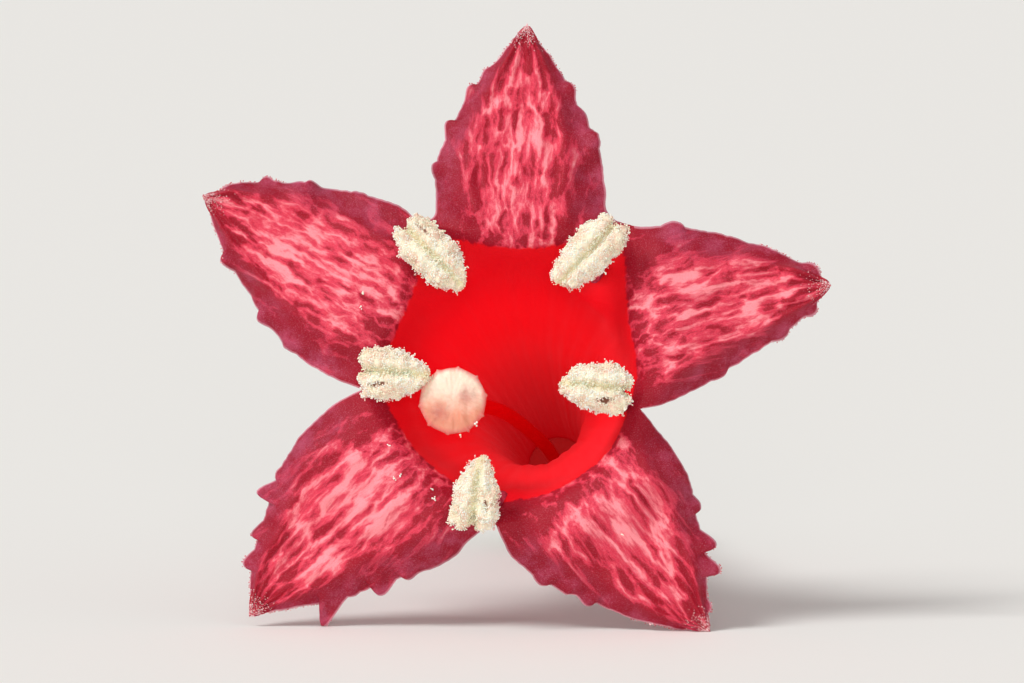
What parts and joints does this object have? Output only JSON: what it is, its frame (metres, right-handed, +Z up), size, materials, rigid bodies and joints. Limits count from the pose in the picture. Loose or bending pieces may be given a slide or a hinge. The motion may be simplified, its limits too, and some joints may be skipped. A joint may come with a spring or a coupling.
{
  "type": "toropapa flower",
  "caption": "Single picked flower lying on its side: a slender funnel tube opening into a star of toothed, streaked lobes, with pollen-covered anthers round a pale disc-shaped stigma.",
  "frame": {"origin": "on the resting surface, under the middle of the flower's bounding box", "axes": "+Z up; the flower lies along Y with its mouth towards -Y and its cut stalk towards +Y; +X is to the right when the mouth is faced"},
  "size_m": [0.0218, 0.0398, 0.0208],
  "materials": {
    "corolla_tissue": "satin",
    "filament_tissue": "satin",
    "anther_pollen": "matte",
    "style_tissue": "satin",
    "stigma_tissue": "satin",
    "calyx_tissue": "satin",
    "stalk_tissue": "satin"
  },
  "bodies": {
    "root": {"corolla": "corolla_tissue", "filament_1": "filament_tissue", "filament_2": "filament_tissue", "filament_3": "filament_tissue", "filament_4": "filament_tissue", "filament_5": "filament_tissue", "anther_1": "anther_pollen", "anther_2": "anther_pollen", "anther_3": "anther_pollen", "anther_4": "anther_pollen", "anther_5": "anther_pollen", "style": "style_tissue", "stigma": "stigma_tissue", "ovary": "calyx_tissue", "sepal_1": "calyx_tissue", "sepal_2": "calyx_tissue", "sepal_3": "calyx_tissue", "sepal_4": "calyx_tissue", "sepal_5": "calyx_tissue", "pedicel": "stalk_tissue"}
  },
  "joints": []
}
